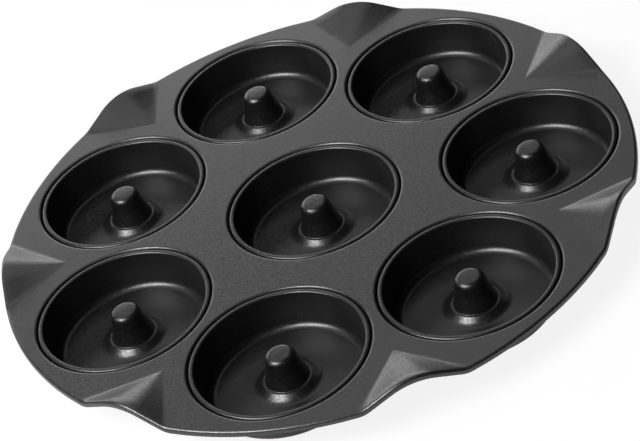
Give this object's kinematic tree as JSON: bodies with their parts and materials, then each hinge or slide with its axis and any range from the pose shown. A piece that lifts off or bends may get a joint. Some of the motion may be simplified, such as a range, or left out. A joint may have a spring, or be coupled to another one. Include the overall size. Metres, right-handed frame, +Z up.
{
  "type": "ring-cup baking sheet",
  "caption": "Round dark non-stick baking sheet with ring-shaped cups, each with a hollow central peg, locked into a carrier plate with raised rim folds.",
  "frame": {"origin": "on the plate's axis, in the plane that the undersides of the cups stand on", "axes": "+Z up out of the cups, along the plate's axis; +Y towards the first outer cup"},
  "size_m": [0.32, 0.32, 0.0273],
  "materials": {
    "plate_coating": "satin dark grey non-stick coating on sheet steel",
    "cup_coating": "semi-gloss near-black non-stick coating on sheet steel"
  },
  "bodies": {
    "root": {"carrier_plate": "plate_coating", "centre_cup": "cup_coating", "outer_cup_1": "cup_coating", "outer_cup_2": "cup_coating", "outer_cup_3": "cup_coating", "outer_cup_4": "cup_coating", "outer_cup_5": "cup_coating", "outer_cup_6": "cup_coating", "outer_cup_7": "cup_coating"}
  },
  "joints": []
}
